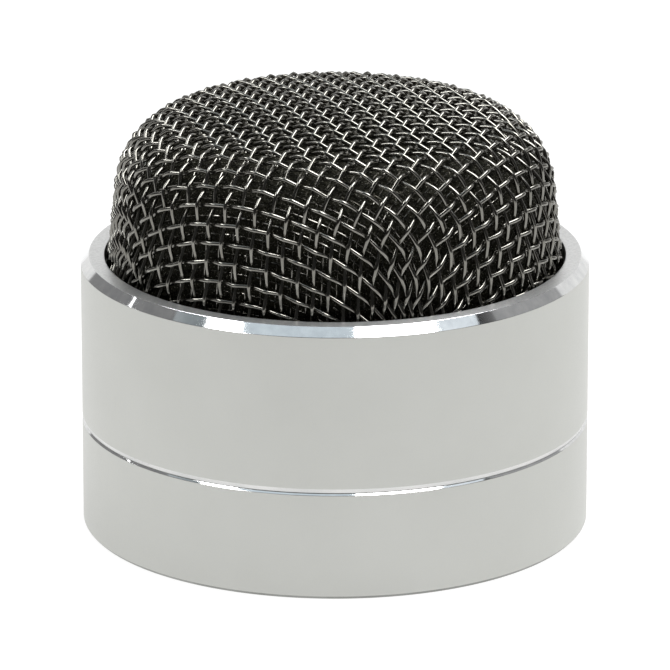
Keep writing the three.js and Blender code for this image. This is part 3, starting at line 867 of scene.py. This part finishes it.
def make_base_shell(metals):
    """The cup: turned outside with the spigot, O-ring groove and thread, then its pillars, bosses and holes."""
    groove_r = SPIGOT_R - 2 * O_RING_R - O_RING_SUNK
    groove_half = O_RING_R + O_RING_SIDE_GAP
    corners = [
        (INSERT_HOLE_R, FLOOR_BOTTOM, MACHINED, EASED),
        (PAD_RECESS_R, FLOOR_BOTTOM, MACHINED, 0.1),
        (PAD_RECESS_R, 0.0, SATIN, 0.1),
        # the bottom bevel takes the fourth slot: darker metal, painted shade for the contact shadow under the edge
        (BODY_R - BASE_EDGE, 0.0, SPECIAL, EASED),
        (BODY_R, BASE_EDGE, SATIN, 0.08),
        (BODY_R, SPLIT_Z - LOWER_SPLIT_CHAMFER, POLISHED, CRISP),
        (BODY_R - LOWER_SPLIT_CHAMFER, SPLIT_Z, SATIN, CRISP),
        (SPIGOT_R, SPLIT_Z, MACHINED, EASED),
        (SPIGOT_R, O_RING_Z - groove_half, MACHINED, EASED),
        (groove_r, O_RING_Z - groove_half, MACHINED, 0.1),
        (groove_r, O_RING_Z + groove_half, MACHINED, 0.1),
        (SPIGOT_R, O_RING_Z + groove_half, MACHINED, EASED),
        (SPIGOT_R, THREAD_BOTTOM, MACHINED, 0),
        (SPIGOT_R, SEAT_Z - INNER_CHAMFER, MACHINED, 0),
        (SPIGOT_R - THREAD_DEPTH - THREAD_LEAD_IN, SEAT_Z, MACHINED, 0),
        (CUP_INNER_R + INNER_CHAMFER, SEAT_Z, MACHINED, 0),
        (CUP_INNER_R, SEAT_Z - INNER_CHAMFER, MACHINED, 0),
        (CUP_INNER_R, FLOOR_TOP, MACHINED, 0.3),
        (INSERT_HOLE_R, FLOOR_TOP, MACHINED, EASED),
    ]
    outline = eased(corners)
    start = next(n for n, p in enumerate(outline) if p[:2] == (SPIGOT_R, THREAD_BOTTOM))
    outline[start + 1:start + 1] = thread_rows(SPIGOT_R, THREAD_BOTTOM, SEAT_Z - INNER_CHAMFER)
    shell = turned("base_shell", outline, metals, radius_at=cut_thread(SPIGOT_R))

    around = [math.radians(degrees) for degrees in PILLAR_ANGLES]
    pillars = [(PILLAR_PITCH_R * math.cos(a), PILLAR_PITCH_R * math.sin(a)) for a in around]
    bosses = [(side * BOSS[0], BOSS[1]) for side in (-1, 1)]
    root = FLOOR_TOP - POST_ROOT

    def raise_post(top, ease, hole_bottom, x, y):
        reshape(shell, post(PILLAR_R, root, top, ease, x, y, metals), "UNION")
        reshape(shell, post(SCREW_HOLE_R, hole_bottom, top + CUTTER_OVERRUN, 0, x, y, metals), "DIFFERENCE")

    for x, y in pillars:
        raise_post(SEAT_Z, PILLAR_EASE, SEAT_Z - SCREW_HOLE_DEPTH, x, y)
    for x, y in bosses:
        raise_post(BOSS_TOP, BOSS_EASE, FLOOR_BOTTOM + BOSS_HOLE_FLOOR, x, y)
    inlet = post(INLET_R, -CUTTER_OVERRUN, FLOOR_TOP + CUTTER_OVERRUN, 0, 0.0, INLET_Y, metals)
    reshape(shell, inlet, "DIFFERENCE")
    shell.data.set_sharp_from_angle(angle=math.radians(SHARP_ANGLE))
    return shell


def make_upper_shell(metals):
    """The bezel: polished top chamfer, faced end, lip, snap ring groove and threaded bore."""
    bottom = SPLIT_Z + SHELL_GAP
    groove_r = BORE_R + SNAP_GROOVE_DEPTH
    step_z = SEAT_Z + STEP_CLEARANCE
    corners = [
        (LOWER_BORE_R, bottom, SATIN, EASED),
        (BODY_R - SPLIT_BEVEL_R, bottom, MACHINED, CRISP),
        (BODY_R, bottom + SPLIT_BEVEL_Z, SATIN, EASED),
        (BODY_R, BODY_TOP - TOP_CHAMFER_Z, POLISHED, CRISP),
        (BODY_R - TOP_CHAMFER_R, BODY_TOP, SPECIAL, CRISP),
        (LIP_R, BODY_TOP, SATIN, 0.12),
        (LIP_R + LIP_TAPER, LIP_Z, MACHINED, 0.1),
        (BORE_R, LIP_Z, MACHINED, EASED),
        (BORE_R, SNAP_Z + SNAP_HEIGHT, MACHINED, 0.03),
        (groove_r, SNAP_Z + SNAP_HEIGHT, MACHINED, EASED),
        (groove_r, SNAP_Z, MACHINED, EASED),
        (BORE_R, SNAP_Z, MACHINED, 0.03),
        (BORE_R, step_z, MACHINED, EASED),
        (LOWER_BORE_R, step_z, MACHINED, 0),
        (LOWER_BORE_R, THREAD_BOTTOM, MACHINED, 0),
    ]
    outline = eased(corners)
    start = next(n for n, p in enumerate(outline) if p[:2] == (LOWER_BORE_R, step_z))
    rows = thread_rows(LOWER_BORE_R, THREAD_BOTTOM, step_z)
    outline[start + 1:start + 1] = reversed(rows)
    return turned("upper_shell", outline, metals, radius_at=cut_thread(LOWER_BORE_R))


def make_liner(foam):
    """Foam dome with the slight unevenness of a hand-fitted liner."""
    outer, inner = Dome(LINER_INSET), Dome(LINER_INSET + LINER_T)
    outline = []
    for dome, order in ((outer, range(LINER_ROWS, -1, -1)), (inner, range(LINER_ROWS + 1))):
        low = dome.foot + (MESH_FOOT_Z - MESH_FLANGE_Z)
        for k in order:
            r, z, _, _ = dome.at(low * k / LINER_ROWS)
            outline.append((r if k else 0.0, z, 0))
    liner = turned("foam_liner", list(reversed(outline)), [foam], segments=LINER_SEGMENTS)
    for vertex in liner.data.vertices:
        lump = noise.noise(vertex.co / (LUMP_SIZE * MM))
        vertex.co += vertex.normal * (LUMP_HEIGHT * MM * lump - LUMP_SUNK * MM)
    return liner


def make_grille_rim(metal):
    """Crimped edge ring that the lip holds down."""
    inner = WALL_TOP_R - CLOTH_T
    corners = [
        (inner, MESH_FLANGE_Z, 0, RIM_FILLET),
        (MESH_FLANGE_R, MESH_FLANGE_Z, 0, RIM_FILLET),
        (MESH_FLANGE_R, MESH_FOOT_Z, 0, RIM_FILLET),
        (inner, MESH_FOOT_Z, 0, RIM_FILLET),
    ]
    return turned("grille_rim", eased(corners), [metal])


# ---------------------------------------------------------------- assembly

bpy.context.scene.view_settings.view_transform = "Standard"
add_camera()
add_studio()
add_world()

satin = satin_aluminium()
polished = polished_aluminium()
machined = machined_aluminium()
wire_metal = black_nickel()
foam = black_foam()

SLOT_MATERIALS = {
    "satin_aluminium": satin,
    "black_nickel_wire": wire_metal,
    "black_foam": foam,
    "black_rubber": moulded("black_rubber", (0.012, 0.012, 0.012), (0.02, 0.02, 0.02), 0.5, 0.65),
    "black_plastic": moulded("black_plastic", (0.02, 0.02, 0.022), (0.03, 0.03, 0.033), 0.35, 0.5),
    "coated_silk": woven_coating("coated_silk", (0.02, 0.02, 0.025), (0.04, 0.04, 0.046), 0.18),
    "polyimide": moulded("polyimide_film", (0.42, 0.2, 0.05), (0.52, 0.27, 0.08), 0.25, 0.4, 0.6, 0.004),
    "copper": turned_metal("copper", (0.72, 0.36, 0.22), (0.8, 0.45, 0.3), 0.2, 0.35),
    "zinc_steel": turned_metal("zinc_steel", (0.5, 0.52, 0.54), (0.62, 0.63, 0.64), 0.25, 0.4),
    "nickel_magnet": turned_metal("nickel_magnet", (0.6, 0.58, 0.55), (0.68, 0.66, 0.63), 0.12, 0.22),
    "grey_felt": woven_coating("grey_felt", (0.2, 0.2, 0.19), (0.32, 0.32, 0.3), 0.3),
    "fibre_board": moulded("fibre_board", (0.2, 0.13, 0.045), (0.28, 0.19, 0.07), 0.45, 0.6, 0.3, 0.01),
    "capacitor_sleeve": moulded("capacitor_sleeve", (0.01, 0.02, 0.12), (0.015, 0.03, 0.16), 0.2, 0.35),
    "brass": turned_metal("brass", (0.66, 0.48, 0.2), (0.76, 0.58, 0.28), 0.2, 0.35),
    "red_insulation": moulded("red_insulation", (0.32, 0.012, 0.012), (0.42, 0.02, 0.018), 0.3, 0.45),
    "black_insulation": moulded("black_insulation", (0.012, 0.012, 0.012), (0.02, 0.02, 0.02), 0.3, 0.45),
    "black_screw": turned_metal("black_screw", (0.04, 0.04, 0.043), (0.07, 0.07, 0.073), 0.25, 0.4),
}

for entry in frame["record"]["subparts"]:
    node = frame["nodes"][entry["node"]]
    node.data.materials.clear()
    node.data.materials.append(SLOT_MATERIALS[entry["material_slot"]])

# darker metal for the cup's bottom bevel: painted shade standing in for the contact shadow under the edge
painted_shade_edge = turned_metal("painted_shade_edge", (0.27, 0.275, 0.26), (0.33, 0.335, 0.32), 0.4, 0.5)
base_shell = make_base_shell([satin, polished, machined, painted_shade_edge])
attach(base_shell, "base")
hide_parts("base_cup")

upper_shell = make_upper_shell([satin, polished, machined, faced_aluminium()])
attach(upper_shell, "bezel")
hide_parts("front_housing")

weave = Weave(Dome(WEAVE_INSET))
for family, name in enumerate(("grille_warp_wires", "grille_weft_wires")):
    wires = wire_object(name, weave.centre_lines(family), wire_metal)
    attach(wires, "grille_insert")
    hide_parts("mesh_grille")

rim = make_grille_rim(wire_metal)
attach(rim, "grille_insert")
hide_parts("mesh_grille")

screen = wire_object(
    "backing_screen",
    [line for family in (0, 1) for line in screen_lines(weave, family)],
    wire_metal,
    SCREEN_WIRE_R,
    SCREEN_SIDES,
)
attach(screen, "grille_insert")
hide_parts("grille_liner")

liner = make_liner(foam)
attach(liner, "grille_insert")
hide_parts("grille_liner")

bpy.ops.mesh.primitive_circle_add(
    vertices=FLOOR_SIDES, radius=FLOOR_RADIUS, fill_type="NGON", location=(0.0, 0.0, 0.0)
)
floor = bpy.context.active_object
floor.name = "floor"
floor.data.materials.append(pale_floor())
